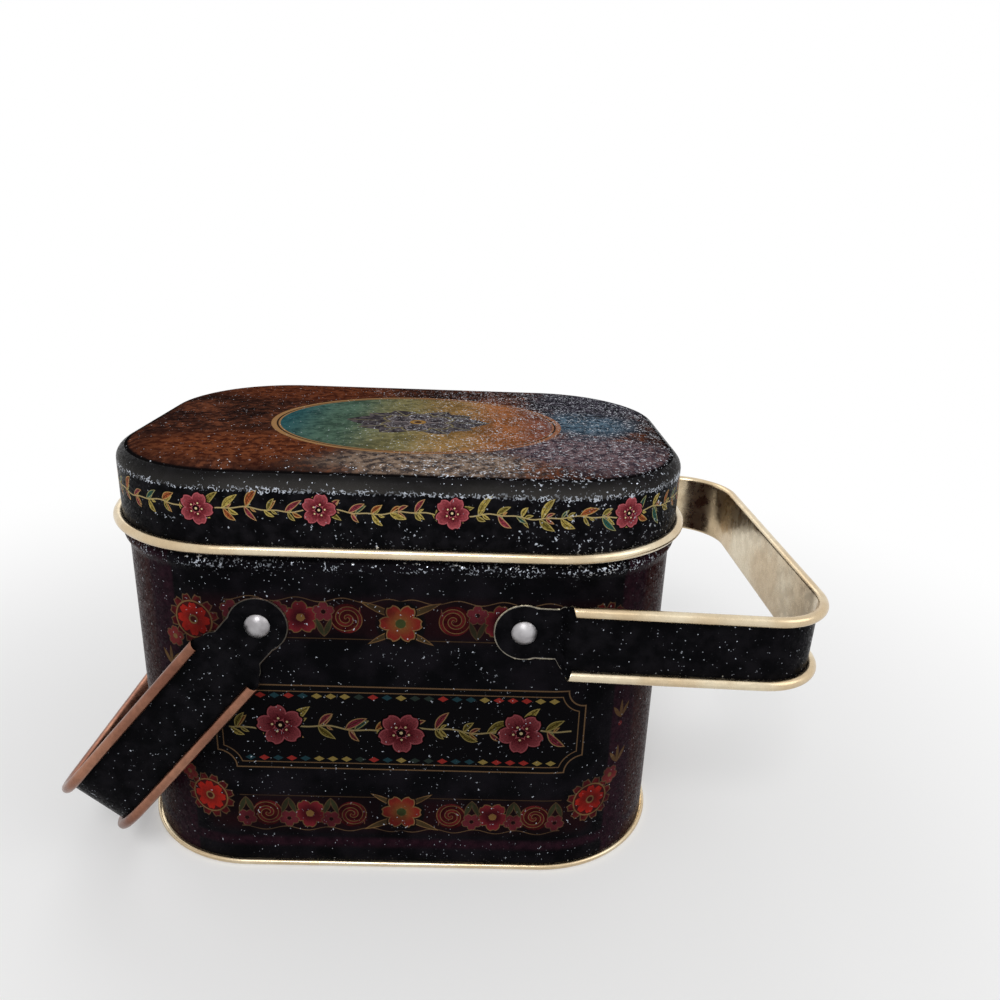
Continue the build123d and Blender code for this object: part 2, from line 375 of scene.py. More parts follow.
# ---------- lid
def make_lid(materials):
    """The lid from its rolled edge, over the shoulder and the crown to the flat top."""
    curl_centre = (LID_CLEARANCE + LID_CURL / 2, SKIRT_BOTTOM + ROLL_CORNER * LID_CURL / 2)
    line = arc(curl_centre, LID_CURL / 2 - MID, 180 + ROLL_TURN, -ROLL_TURN)
    line.append((LID_CLEARANCE + MID, SHOULDER_Z - SKIRT_MARGIN))
    skirt_strips = len(line) + SHOULDER_STEPS
    shoulder = (SHOULDER_OUT, SHOULDER_Z)
    crown = (FLAT_OUT, LID_TOP - CROWN_RADIUS)
    line += arc(shoulder, SHOULDER_RADIUS - MID, 0, 90 - CROWN_ANGLE, SHOULDER_STEPS)
    line += arc(crown, CROWN_RADIUS - MID, 90 - CROWN_ANGLE, CROWN_ANGLE, CROWN_STEPS)[1:]
    line.append((FLAT_OUT - TOP_MARGIN, LID_TOP - MID))
    slots = [0] * skirt_strips + [TOP_SLOT] * (len(line) - 1 - skirt_strips)
    bm = bmesh.new()
    sweep_round(bm, line[::-1], slots=slots[::-1], fill=True)
    for face in bm.faces:
        if len(face.verts) > 4:
            face.material_index = TOP_SLOT
    thicken(bm)
    piece_from(bm, "lid_sheet", materials, "lid", "lid")


# ---------- strap handles
def tongue_rows():
    """Rows across a handle's tongue: place along it, edge, and the hole's edge."""
    places = [-BOSS_RADIUS * cos(radians(angle)) for angle in range(0, 90, 6)]
    places += [HOLE_RADIUS * cos(radians(angle)) for angle in range(0, 181, 12)]
    places += [TONGUE_END * i / TONGUE_STEPS for i in range(TONGUE_STEPS // 3, TONGUE_STEPS + 1)]
    rows = []
    for x in sorted(set(round(place, 4) for place in places)):
        if x < NECK_START:
            edge = sqrt(max(BOSS_RADIUS**2 - x**2, 0))
        else:
            widened = ease((x - NECK_END) / (TONGUE_END - NECK_END))
            edge = NECK_WIDTH / 2 + (BEAD_MIDDLE - NECK_WIDTH / 2) * widened
        hole = sqrt(max(HOLE_RADIUS**2 - x**2, 0))
        rows.append((x, edge, hole))
    return rows


def strap_out(x):
    """Distance of the strap's mid sheet from the tin's middle, along a leg."""
    jog = ease((x - JOG_START + JOG_EASE) / (JOG_END - JOG_START + 2 * JOG_EASE))
    return (HALF_WIDTH + BOSS_GAP) * (1 - jog) + STRAP_INSIDE * jog + MID


def strap_section(turn):
    """The strap's mid sheet across its width, as (out, across), its edges rolled by a turn."""
    lower = arc((BEAD_RADIUS, -BEAD_MIDDLE), BEAD_RADIUS, 180 + turn, -turn)
    upper = arc((BEAD_RADIUS, BEAD_MIDDLE), BEAD_RADIUS, 180, -turn)
    flat = [(0, BEAD_MIDDLE * (i / STRIP_STEPS - 1)) for i in range(1, 2 * STRIP_STEPS)]
    return lower + flat + upper


def strap_places():
    """Places along the strap: x, y, the outward normal's x and y, and the turn of its rolls."""
    closed = JOG_END + ROLL_EASE_AFTER * ROLL_EASE
    leg = []
    for i in range(ROLL_STEPS + 1):
        leg.append((TONGUE_END + (closed - TONGUE_END) * i / ROLL_STEPS, i / ROLL_STEPS))
    places = [(x, -strap_out(x), 0, -1, ROLL_TURN * ease(t)) for x, t in leg]
    radius = STRAP_BEND - SHEET + MID
    bend_x = STRAP_REACH - SHEET + MID - radius
    bend_y = STRAP_INSIDE + MID - radius
    for y_side, first in ((-1, -90), (1, 0)):
        for i in range(BEND_STEPS + 1):
            angle = radians(first + 90 * i / BEND_STEPS)
            x = bend_x + radius * cos(angle)
            y = y_side * bend_y + radius * sin(angle)
            places.append((x, y, cos(angle), sin(angle), ROLL_TURN))
    places += [(x, strap_out(x), 0, 1, ROLL_TURN * ease(t)) for x, t in leg[::-1]]
    return places


def add_tongue(bm, y_side):
    """A tongue, as a strip over its rivet's hole and a strip under it."""
    for strip in (-1, 1):
        points, marks = [], []
        for x, edge, hole in tongue_rows()[:: -y_side]:
            spans = [hole + (edge - hole) * i / STRIP_STEPS for i in range(STRIP_STEPS + 1)]
            if strip < 0:
                spans = [-w for w in spans[::-1]]
            points.append([(x, y_side * strap_out(x), w) for w in spans])
            marks.append([(x, w) for w in spans])
        grid(bm, points, marks)


def add_rolled_strap(bm):
    """The strap between its tongues, with both edges rolled outwards."""
    points, marks, run, before = [], [], 0, None
    for x, y, nx, ny, turn in strap_places():
        if before:
            run += hypot(x - before[0], y - before[1])
        before = (x, y)
        section = strap_section(turn)
        points.append([(x + nx * out, y + ny * out, w) for out, w in section])
        marks.append([(TONGUE_END + run, w) for _, w in section])
    grid(bm, points, marks)


def make_handle(name, side, angle, materials, node_name):
    """A handle, built level along x and then turned about its pivots."""
    bm = bmesh.new()
    for y_side in (-1, 1):
        add_tongue(bm, y_side)
    add_rolled_strap(bm)
    thicken(bm, bevel=EDGE_BEVEL)
    along = Vector((side * cos(radians(angle)), 0, sin(radians(angle))))
    across = Vector((-side * sin(radians(angle)), 0, cos(radians(angle))))
    placed = Matrix((along, across.cross(along), across)).transposed().to_4x4()
    placed.translation = (side * PIVOT_X * MM, 0, PIVOT_HEIGHT * MM)
    bm.transform(placed)
    piece_from(bm, name, materials, node_name, node_name)


# ---------- rivets
def make_rivets(name, x_side, materials, node_name):
    """A handle's two rivets, with a domed head, a shank and a headed tail."""
    base = 2 * BOSS_GAP + SHEET
    dome_radius = (HEAD_RADIUS**2 + HEAD_HEIGHT**2) / (2 * HEAD_HEIGHT)
    rim_angle = degrees(acos(HEAD_RADIUS / dome_radius))
    dome = arc((0, base + HEAD_HEIGHT - dome_radius), dome_radius, 90, rim_angle - 90, DOME_STEPS)
    underside = (HEAD_RADIUS - HEAD_UNDERCUT, base)
    rim = rounded([dome[-2], dome[-1], underside], [HEAD_BEND], RIVET_BEND_STEPS)[1:]
    tail_end = -SHEET - TAIL_HEIGHT
    tail = [(SHANK_RADIUS, -SHEET), (TAIL_RADIUS, -SHEET), (TAIL_RADIUS, tail_end), (0, tail_end)]
    profile = dome[:-1] + rim + [(SHANK_RADIUS, base)] + rounded(tail, TAIL_BENDS, RIVET_BEND_STEPS)
    bm = bmesh.new()
    for y_side in (-1, 1):
        rows, marks = [], []
        for i in range(RIVET_STEPS + 1):
            angle = tau * i / RIVET_STEPS
            turned = [(radius * cos(angle), radius * sin(angle)) for radius, _ in profile]
            rows.append([
                (x_side * PIVOT_X + u, y_side * (HALF_WIDTH + out), PIVOT_HEIGHT + v)
                for (u, v), (_, out) in zip(turned, profile)
            ])
            marks.append(turned)
        grid(bm, rows if y_side > 0 else rows[::-1], marks)
    bmesh.ops.remove_doubles(bm, verts=bm.verts, dist=WELD)
    bmesh.ops.recalc_face_normals(bm, faces=bm.faces)
    piece_from(bm, name, materials, "tin", node_name, sharp=RIVET_SHARP)


# ---------- node helpers
def calculation(operation):
    """A method of a Value, done by a Math node."""
    return lambda value, *others: value.math(operation, *others)


class Value:
    """A number that varies over a surface, worked out by Math nodes."""

    tree = None

    def __init__(self, socket):
        self.socket = socket

    def math(self, operation, *others):
        made = Value.tree.nodes.new("ShaderNodeMath")
        made.operation = operation
        for slot, item in zip(made.inputs, (self, *others)):
            plug(item, slot)
        return Value(made.outputs[0])

    __add__ = calculation("ADD")
    __sub__ = calculation("SUBTRACT")
    __mul__ = calculation("MULTIPLY")
    __truediv__ = calculation("DIVIDE")
    __abs__ = calculation("ABSOLUTE")
    at_least = calculation("MAXIMUM")
    at_most = calculation("MINIMUM")

    def wrap(self, half):
        """The number, starting again at -half each time it passes half."""
        return self.math("WRAP", half, -half)


def plug(item, slot):
    """Sets a socket to a value, colour, socket or number."""
    if isinstance(item, Value):
        item = item.socket
    if isinstance(item, bpy.types.NodeSocket):
        Value.tree.links.new(item, slot)
    elif isinstance(item, tuple) and len(item) == 3 and slot.type == "RGBA":
        slot.default_value = (*item, 1)
    else:
        slot.default_value = item


def node(kind, inputs=(), **settings):
    """A node with its settings and its inputs."""
    made = Value.tree.nodes.new(kind)
    for key, value in settings.items():
        setattr(made, key, value)
    for key, value in dict(inputs).items():
        plug(value, made.inputs[key])
    return made


def vector_math(operation, first, second):
    made = node("ShaderNodeVectorMath", operation=operation)
    plug(first, made.inputs[0])
    plug(second, made.inputs["Scale" if operation == "SCALE" else 1])
    return made.outputs[0]


def constant(number):
    """A number as a value that patterns can be worked out from."""
    made = node("ShaderNodeValue")
    made.outputs[0].default_value = number
    return Value(made.outputs[0])


def ramp(value, low, high, to_low=0.0, to_high=1.0, smooth=True):
    """value from low to high, as to_low to to_high."""
    made = node("ShaderNodeMapRange", interpolation_type="SMOOTHSTEP" if smooth else "LINEAR")
    for slot, item in zip(made.inputs, (value, low, high, to_low, to_high)):
        plug(item, slot)
    return Value(made.outputs[0])


def inside(distance, soft=0.06):
    """1 where a distance is under zero, with an edge as soft as print."""
    return ramp(distance, soft, -soft)


def outline(distance, half_width):
    """1 on a line where a distance is zero."""
    return inside(abs(distance) - half_width)


def mix(mask, low, high):
    """Colour low where the mask is 0, high where it is 1."""
    made = node("ShaderNodeMix", data_type="RGBA")
    plug(mask, made.inputs[0])
    plug(low, made.inputs[6])
    plug(high, made.inputs[7])
    return made.outputs[2]


def paint(ground, *coats):
    """Coats of (mask, colour), one over another."""
    for mask, colour in coats:
        ground = mix(mask, ground, colour)
    return ground


def shade(colour, factor):
    """A colour made lighter or darker by a factor."""
    return vector_math("SCALE", colour, factor)


def mottled(number, low_colour, high_colour):
    """A colour between two, by the middle of a noise's range."""
    return mix(ramp(number, 0.3, 0.7), low_colour, high_colour)


def length(u, v):
    return (u * u + v * v).math("SQRT")


def parts_of(vector):
    split = node("ShaderNodeSeparateXYZ", {0: vector})
    return [Value(out) for out in split.outputs]


def object_place():
    """Place on the object, in metres."""
    return node("ShaderNodeTexCoord").outputs["Object"]


def noise(scale, detail=3.0, roughness=0.55, offset=None):
    """Smooth noise from 0 to 1, of so many waves a metre."""
    made = node("ShaderNodeTexNoise", {"Scale": scale, "Detail": detail, "Roughness": roughness})
    place = vector_math("ADD", object_place(), offset) if offset else object_place()
    plug(place, made.inputs["Vector"])
    return Value(made.outputs["Fac"])


def cells(size):
    """Random cells: distance from each cell's middle, and its colour. size is in metres."""
    made = node("ShaderNodeTexVoronoi", {"Scale": 1 / size})
    plug(object_place(), made.inputs["Vector"])
    return Value(made.outputs["Distance"]), made.outputs["Color"]


def hashed(index, salt):
    """Three random numbers from 0 to 1 that belong to a whole number."""
    made = node("ShaderNodeTexWhiteNoise", {"W": index + salt}, noise_dimensions="1D")
    return parts_of(made.outputs["Color"])


def flake_normal(size, tilt):
    """A surface of tiny facets, each tilted its own way."""
    normal = node("ShaderNodeNewGeometry").outputs["Normal"]
    centred = vector_math("SUBTRACT", cells(size)[1], (0.5, 0.5, 0.5))
    tilted = vector_math("ADD", normal, vector_math("SCALE", centred, tilt))
    return node("ShaderNodeVectorMath", {0: tilted}, operation="NORMALIZE").outputs[0]


def srgb(red, green, blue):
    """A colour as it is seen, 0 to 255, as the linear colour that a shader takes."""
    shares = [c / 255 for c in (red, green, blue)]
    return tuple(c / 12.92 if c <= 0.04045 else ((c + 0.055) / 1.055) ** 2.4 for c in shares)


def pick(number, stops, smooth=False, ink=srgb):
    """Colour by a number from 0 to 1. stops are (from, red, green, blue)."""
    made = node("ShaderNodeValToRGB", {0: number})
    band = made.color_ramp
    band.interpolation = "EASE" if smooth else "CONSTANT"
    for _ in range(len(band.elements) - 1):
        band.elements.remove(band.elements[-1])
    for i, (at, *colour) in enumerate(stops):
        element = band.elements.new(at) if i else band.elements[0]
        element.position = at
        element.color = (*ink(*colour), 1)
    return made.outputs[0]


def material(name, build):
    """A material whose nodes are made by build(), which returns the shader's inputs."""
    made = bpy.data.materials.new(name)
    made.use_nodes = True
    Value.tree = made.node_tree
    shader = made.node_tree.nodes["Principled BSDF"]
    for key, value in build().items():
        plug(value, shader.inputs[key])
    return made


# ---------- motifs
def leaf(du, dz, turn, size, plump=0.3, bend=0.0):
    """Distance to a pointed leaf that grows at an angle, and distance from its midrib."""
    if not isinstance(turn, Value):
        turn = constant(turn)
    cosine, sine = turn.math("COSINE"), turn.math("SINE")
    along = (du * cosine + dz * sine) / size
    belly = (along - along * along) * size
    across = abs(dz * cosine - du * sine - belly * bend)
    return across - belly * (2 * plump), across


def petals(du, dz, radius, count, turn=0.0):
    """Distance to a ring of notched petals, distance from the middle, and place in a petal, -0.5 to 0.5."""
    r = length(du, dz)
    share = (dz.math("ARCTAN2", du) * (count / tau) + turn).math("FRACT") - 0.5
    swing = share * (tau / count)
    x, y = r * swing.math("COSINE"), r * swing.math("SINE")
    middle, reach, notch_at, notch_radius = 0.58 * radius, 0.42, 1.12 * radius, 0.2 * radius
    wide = 1.14 * 0.6 * sin(pi / count)
    petal = length((x - middle) * (wide / reach), y) - wide * radius
    notch = length(x - notch_at, y) * -1 + notch_radius
    return petal.at_least(notch), r, share


def nearest(s, places):
    """Signed distance along s to the nearest of some places."""
    best = s - places[0]
    for place in places[1:]:
        other = s - place
        closer = abs(other).math("LESS_THAN", abs(best))
        best = best + closer * (other - best)
    return best


def vine_leaves(s, stem, streak, size, ink):
    """Coats of a vine's leaves: four in each cell along it, of random turns and lengths."""
    cell = 4.277 * size
    long_leaf = 4.7
    tints = (
        (0, 126, 112, 52), (0.3, 168, 148, 74), (0.56, 158, 84, 50), (0.7, 40, 92, 84),
        (0.82, 146, 54, 72),
    )
    sides = ((1, 83.1, 2.6), (-1, 29.9, 2.4), (1, 11.3, long_leaf), (-1, 47.7, long_leaf))
    index = (s / cell).math("FLOOR")
    du = s - index * cell
    coats = []
    for side, salt, longest in sides:
        chance, spread, tint = hashed(index, salt)
        turn = ramp(spread, 0, 1, 0.42, 1.2, smooth=False)
        reach = ramp(chance, 0, 1, 0.42 * longest * size, longest * size, smooth=False)
        base = ramp(spread, 0, 1, (long_leaf - longest) * 0.85 * size, 1.2 * size, smooth=False)
        edge, across = leaf(du - base, stem * side, turn, reach, 0.29, 0.35)
        tinted = pick(tint, tints, ink=ink)
        tinted = mix(ramp(streak, 0.42, 0.62), shade(tinted, 0.45), tinted)
        midrib = inside(across - 0.06 * size) * inside(edge + 0.1 * size)
        coats += [
            (inside(edge), tinted),
            (midrib, ink(56, 42, 20)),
            (outline(edge, 0.08 * size), mix(0.45, tinted, ink(204, 184, 116))),
        ]
    return coats


def vine_flowers(s, up, places, streak, size, ink):
    """Coats of a vine's flowers, with petals, a dark heart and a ring of stamens."""
    count = 5
    away = nearest(s, places)
    turn, shift, _ = hashed(s - away, 3.1)
    edge, r, share = petals(away, up - shift * 1.4 * size + 0.7 * size, 3.6 * size, count, turn)
    pink = mix(ramp(r, 0.8 * size, 3.5 * size), ink(90, 22, 32), ink(148, 68, 74))
    pink = shade(pink, ramp(streak, 0.35, 0.65, 0.72, 1.12))
    width = r * (tau / count)
    stamens = length(r - 1.2 * size, share * width) - 0.18 * size
    slits = inside(abs(share) * width - 0.06 * size) * inside(r - 1.9 * size)
    cream = ink(216, 198, 150)
    return [
        (inside(edge - 0.25 * size), ink(12, 8, 10)),
        (inside(edge), pink),
        (outline(edge + 0.14 * size, 0.07 * size), ink(170, 88, 94)),
        (slits, ink(52, 8, 18)),
        (inside(r - 0.75 * size), ink(30, 8, 14)),
        (inside(stamens), cream),
        (inside(r - 0.25 * size), cream),
    ]


def vine(ground, s, up, places, size=1.0, muted=1.0):
    """A flowering vine along s: a wavy stem, pairs of pointed leaves, and flowers at some places."""
    def ink(*colour):
        return tuple(muted * c for c in srgb(*colour))

    sway = (s * (tau / 17.1 / size)).math("SINE") * 0.35 + (s * (tau / 6.1 / size)).math("SINE") * 0.16
    stem = up - sway * size
    streak = noise(2600, 2)
    return paint(
        ground,
        (inside(abs(stem) - 0.13 * size, 0.08), ink(168, 150, 106)),
        *vine_leaves(s, stem, streak, size, ink),
        *vine_flowers(s, up, places, streak, size, ink),
    )


def print_place():
    """Millimetres along the front or back from its middle, to the right, and up."""
    run, z, _ = parts_of(node("ShaderNodeUVMap", uv_map=PRINT_MAP).outputs[0])
    return run * -1 + GIRTH / 2, z


# ---------- lacquer
def sparkle(density):
    """A mask of glints of bright tin, and a surface of tiny tilted facets."""
    distance, colour = cells(0.5e-3)
    chance, size, bright = parts_of(colour)
    drift = noise(260, 2)
    dots = inside(distance - size * 0.3, 0.06) * chance.math("GREATER_THAN", density * -0.16 + 1)
    scratches = inside(abs(noise(1000, 1, offset=(0.3, 0.1, 0.7)) - 0.5) - 0.04, 0.03)
    clusters = ramp(noise(1300, 1, offset=(0.9, 0.4, 0.2)) + density * 0.08, 0.71, 0.77)
    glints = (dots * bright).at_least(scratches * clusters * ramp(drift, 0.4, 0.6, 0.25, 1.0))
    return glints, flake_normal(0.42e-3, 0.22)


def lacquered(colour, density, gloss=0.008):
    """Inputs of a dark print with glints of bright tin in it."""
    glints, normal = sparkle(density)
    return {
        "Base Color": mix(glints, colour, srgb(188, 194, 204)),
        "Metallic": glints,
        "Roughness": ramp(noise(900, 2), 0.3, 0.7, 0.19, 0.32),
        "Specular IOR Level": gloss,
        "Normal": normal,
    }


def clear_lacquer(tone, roughest):
    """Inputs of bright tin under clear lacquer of a tone."""
    return {
        "Base Color": tone,
        "Metallic": 1.0,
        "Roughness": ramp(noise(300, 4), 0.3, 0.7, 0.2, roughest),
        "Normal": flake_normal(0.9e-3, 0.025),
    }


def gold_lacquer():
    """Champagne gold, on the insides, the bottom, and the lid's and the right handle's rolls."""
    cloud, grain = noise(60, 3), noise(900, 3)
    tone = mix(ramp(cloud, 0.35, 0.65), srgb(222, 208, 180), srgb(204, 182, 148))
    return clear_lacquer(shade(tone, ramp(grain, 0.3, 0.7, 0.95, 1.04)), 0.34)


def shaded_gold_lacquer():
    """The gold lacquer painted darker and coppery as painted shade, on the left handle's rolls and inner
    face.
    """
    cloud, grain = noise(45, 3, 0.5), noise(900, 3)
    tone = mix(ramp(cloud, 0.35, 0.65), srgb(124, 82, 66), srgb(158, 112, 90))
    return clear_lacquer(shade(tone, ramp(grain, 0.3, 0.7, 0.88, 1.08)), 0.36)


def strap_lacquer(bare):
    """A handle's black face, its tongues' edges worn as far as bare says."""
    cloud, grain = noise(260, 3), noise(1500, 2)
    black = mix(ramp(cloud, 0.35, 0.7), srgb(9, 9, 11), srgb(20, 19, 22))
    x, w, _ = parts_of(node("ShaderNodeUVMap", uv_map=PRINT_MAP).outputs[0])
    neck = abs(w) - ramp(x, NECK_END, TONGUE_END, NECK_WIDTH / 2, BEAD_MIDDLE)
    boss = length(x, w) - BOSS_RADIUS
    edge = boss + x.math("GREATER_THAN", NECK_START) * (neck - boss)
    worn = ramp(edge + grain * 0.12, -0.27, -0.2) * inside(x - TONGUE_END, 0.1)
    worn = worn * ramp(noise(400, 2), 0.3, 0.5, 0.44 * bare, bare)
    return lacquered(mix(worn, black, srgb(150, 144, 132)), constant(0.35))


def cut_edge(dark, light):
    """Bare metal at the edge of a sheet, between two tones."""
    return {
        "Base Color": mottled(noise(1500, 2), dark, light),
        "Metallic": 1.0,
        "Roughness": 0.35,
    }


def satin_aluminium():
    """A rivet's finely pitted metal."""
    grain, scratch = noise(1400, 4, 0.65), noise(240, 3)
    bump = node("ShaderNodeBump", {"Height": grain, "Strength": 0.25, "Distance": 0.00008})
    return {
        "Base Color": mottled(scratch, srgb(150, 147, 149), srgb(186, 184, 186)),
        "Metallic": 1.0,
        "Roughness": ramp(scratch, 0.3, 0.7, 0.34, 0.5),
        "Normal": bump.outputs[0],
    }


# ---------- print of the lid
SKIRT_PRINTS = 3  # round the lid
SKIRT_FLOWERS = (-39.0, -14.3, 12.6, 49.5)  # along the skirt, from a print's middle
SKIRT_VINE_Z = 90.1
TOP_EDGE_Z = 97.5  # where the top's print ends on the shoulder
OVAL_SHIFT = 2.0  # to the right and to the front
OVAL_HALF = (35.8, 28.75)


def skirt_print():
    """A flowering vine on black, under a painted grey sheen on the shoulder and a painted highlight line of
    glints.
    """
    s, z = print_place()
    place = s.wrap(GIRTH / SKIRT_PRINTS / 2)
    black = mix(ramp(noise(350), 0.35, 0.7), srgb(9, 9, 11), srgb(22, 21, 24))
    # Painted sheen: the shoulder is painted grey, lightest near its lower edge and black towards the crown.
    shoulder = ramp(z, 93.9, 94.3) * ramp(z, 97.9, 94.6)
    black = mix(shoulder * ramp(noise(24, 2), 0.35, 0.65, 0.4, 1.0), black, srgb(58, 56, 54))
    ground = vine(black, place, z - SKIRT_VINE_Z, SKIRT_FLOWERS)
    # Painted highlight: glints thickened along a line low on the shoulder. Painted sheen: glints thicker
    # towards the right.
    glint_line = ramp(abs(z - 94.2), 0.9, 0.3)
    return lacquered(ground, ramp(noise(55, 2) + s / 400, 0.35, 0.65, 0.1, 1.3) + glint_line * 3.4)


def patches_and_painted_reflection(x, y, mottle, grain):
    """Coats of six mottled patches on the lid's top: two rust ones, and four that are painted reflection.
    """
    # The two rust patches on the left are the lid's own. The four in greys, mauve and blue towards the
    # front and the right are a painted reflection of the room.
    patches = (
        ((-34, -28), (26, 15), (62, 30, 21), (112, 62, 38)),  # middle, half size, dark, light
        ((-32, 31), (28, 15), (58, 28, 20), (100, 54, 34)),
        ((8, -37), (30, 12), (60, 52, 50), (138, 118, 102)),
        ((42, -25), (22, 17), (50, 42, 50), (112, 92, 96)),
        ((45, 3), (14, 20), (36, 48, 60), (82, 104, 120)),
        ((50, 26), (24, 22), (20, 20, 25), (66, 62, 72)),
    )
    coats = []
    for (place_x, place_y), (half_x, half_y), dark, light in patches:
        reach = length((x - place_x) / half_x, (y - place_y) / half_y)
        colour = pick(grain, ((0.4, *dark), (0.6, *light)), smooth=True)
        coats.append((ramp(reach + mottle * 1.6, 1.9, 1.3), colour))
    return coats


def oval_medallion(u, v, mottle, grain):
    """Coats of a coloured field in a double ring, with a rosette in its middle."""
    oval = (length(u / OVAL_HALF[0], v / OVAL_HALF[1]) - 1) * 31
    stops = (
        (0.02, 36, 74, 80), (0.24, 72, 94, 80), (0.44, 112, 106, 72), (0.62, 134, 104, 62),
        (0.8, 136, 84, 48), (0.93, 112, 66, 50), (1.0, 104, 84, 86),
    )
    field = pick(u / 72 + 0.5 + (grain - 0.5) * 0.12, stops, smooth=True)
    field = shade(field, ramp(mottle, 0.42, 0.58, 0.6, 1.25))
    ochre = mix(ramp(u, -20, 30), srgb(148, 112, 74), srgb(138, 92, 66))
    return [
        (inside(oval, 0.1), ochre),
        (inside(oval + 1.1, 0.1), srgb(40, 30, 25)),
        (inside(oval + 1.5, 0.1), ochre),
        (inside(oval + 1.9, 0.1), field),
        *slate_rosette(u, v, grain),
    ]


def slate_rosette(u, v, grain):
    """Coats of a slate rosette on leaves, the same to the left and the right."""
    slate = pick(grain, ((0.4, 42, 38, 42), (0.6, 86, 80, 82)), smooth=True)
    side = abs(u)
    coats = []
    for turn, reach in ((0.05, 18.0), (0.55, 15.5), (-0.45, 15.5), (1.05, 14.0), (-0.95, 14.0)):
        edge, across = leaf(side, v, turn, reach, 0.62)
        coats.append((inside(edge, 0.15), slate))
        coats.append((inside(across - 0.14, 0.08) * inside(edge + 0.3, 0.1), srgb(128, 120, 92)))
    edge, r, _ = petals(u, v, 9.4, 6)
    return coats + [
        (inside(edge - 0.5, 0.15), srgb(112, 102, 74)),
        (inside(edge, 0.15), slate),
        (inside(abs(edge + 0.7) - 0.16, 0.1), srgb(122, 112, 112)),
        (inside(r - 2.0, 0.15), srgb(148, 112, 58)),
        (inside(r - 1.0, 0.15), srgb(60, 40, 34)),
    ]


def top_print():
    """Mottled brown with patches and an oval medallion, and glints of bright tin that thicken towards the
    right as a painted sheen.
    """
    x, y, z = [part / MM for part in parts_of(object_place())]
    cloud, grain = noise(70, 4, 0.6), noise(520, 5, 0.7)
    mottle = cloud * 0.45 + grain * 0.55
    browns = ((0.4, 18, 12, 13), (0.47, 42, 26, 22), (0.53, 64, 37, 28), (0.6, 100, 58, 40))
    ground = paint(
        pick(mottle, browns, smooth=True),
        *patches_and_painted_reflection(x, y, mottle, grain),
        *oval_medallion(x - OVAL_SHIFT, y + OVAL_SHIFT, mottle, grain),
        (inside(z - TOP_EDGE_Z, 0.12), srgb(14, 12, 13)),
    )
    # Painted sheen: the glints thicken towards the right of the top.
    return lacquered(ground, ramp(x + cloud * 60, 10, 50, 0.3, 2.4), gloss=0.0)


# ---------- print of the wall
PRINT_SHIFT = 2.0  # of the print's middle, to the right of the wall's
BORDER_MIDDLE = 40.0  # height that the borders mirror about
BORDER_RISE = 25.5  # from there to a border's own middle
BORDER_END = 37.3  # from the print's middle
HALF_PITCH = 4.9  # from a border's scroll to the bud beside it
FIRST_SCROLL = 11.5  # from the print's middle
FLOWER_PLACE = FIRST_SCROLL + 2 * HALF_PITCH
ROSETTE_RISE = 24.6
ROUNDEL_MIDDLE = 41.0  # height that the roundels and the sprays mirror about
ROUNDEL_PLACE = (44.6, 22.8)
SIDE_FLOWER_PLACE = (49.9, 17.6)
SPRAY_LINE = 51.8
HALF_SPRAY_PITCH = 6.2
SPRAY_END = 15.5
PANEL_MIDDLE = 38.0
PANEL_HALF = (41.5, 10.8)
PANEL_SCOOP = 4.2
PANEL_RIM = 1.6
PANEL_FLOWERS = (-27.0, 0.0, 27.0)
HALF_BEAD_PITCH = 1.55
BEADS_END = 35.65
GARLAND_END = 38.45
GOLD = srgb(110, 84, 54)
LINE = srgb(88, 68, 48)


def wall_ground(q, z, cloud, grain):
    """Black, with plum and maroon round the ends and a dark red haze behind the borders."""
    black = mix(ramp(cloud, 0.35, 0.7), srgb(8, 8, 10), srgb(20, 18, 22))
    plum = mottled(grain, srgb(24, 12, 19), srgb(38, 20, 28))
    band = abs(z - BORDER_MIDDLE) - BORDER_RISE
    haze = ramp(abs(band), 6.5, 2.5) * ramp(q, 47.0, 42.0) * ramp(cloud, 0.3, 0.6, 0.3, 0.9)
    return paint(
        black,
        (ramp(q, 48.6, 49.4), plum),
        (ramp(q, 55, 58), mottled(grain, srgb(32, 15, 16), srgb(50, 26, 25))),
        (inside(abs(z - 6.4) - 1.2, 0.8), plum),
        (haze, srgb(27, 11, 14)),
    )


def border_scrolls(q, band, roll, crimson):
    """Coats of the borders' scrolls, which leave a flower's place free."""
    pitch = 0.95
    r = length(roll, band)
    coil = (r - band.math("ARCTAN2", roll) * (2 * pitch / tau)).wrap(pitch)
    past_flower = ramp(abs(q - FLOWER_PLACE), 4.8, 4.9)
    scroll = inside(r - 3.5) * inside(q - BORDER_END, 0.1) * ramp(q, 6.4, 6.6) * past_flower
    return [
        (scroll, shade(crimson, 0.4)),
        (scroll * inside(abs(coil) - 0.26), shade(crimson, 0.8)),
        (scroll * outline(abs(coil) - 0.4, 0.09), shade(GOLD, 0.8)),
    ]


def border_flowers(q, band, roll, grain):
    """Coats of the borders' flowers, and of the buds between them and the scrolls."""
    bloom, reach, _ = petals(roll, band, 4.0, 5, 0.3)
    in_bloom = inside(abs(q - FLOWER_PLACE) - 4.8, 0.1)
    bud, heart, _ = petals(abs(roll) - HALF_PITCH, band - 1.5, 2.4, 5, 0.25)
    sprigs, _ = leaf(abs(roll) * -1 + HALF_PITCH, band + 4.4, 1.2, 4.6, 0.26)
    in_buds = inside(q - 38.6, 0.1) * ramp(q, 8.5, 8.6)
    return [
        (inside(bloom) * in_bloom, mix(ramp(reach + grain, 1.2, 4.4), srgb(50, 12, 18), srgb(104, 32, 38))),
        (outline(bloom, 0.1) * in_bloom, shade(GOLD, 0.75)),
        (inside(reach - 0.9) * in_bloom, srgb(106, 78, 44)),
        (inside(bud) * in_buds, srgb(84, 32, 38)),
        (outline(bud, 0.08) * in_buds, LINE),
        (inside(heart - 0.5) * in_buds, srgb(26, 10, 12)),
        (inside(sprigs) * in_buds, srgb(44, 46, 30)),
        (outline(sprigs, 0.09) * in_buds, shade(LINE, 0.7)),
    ]


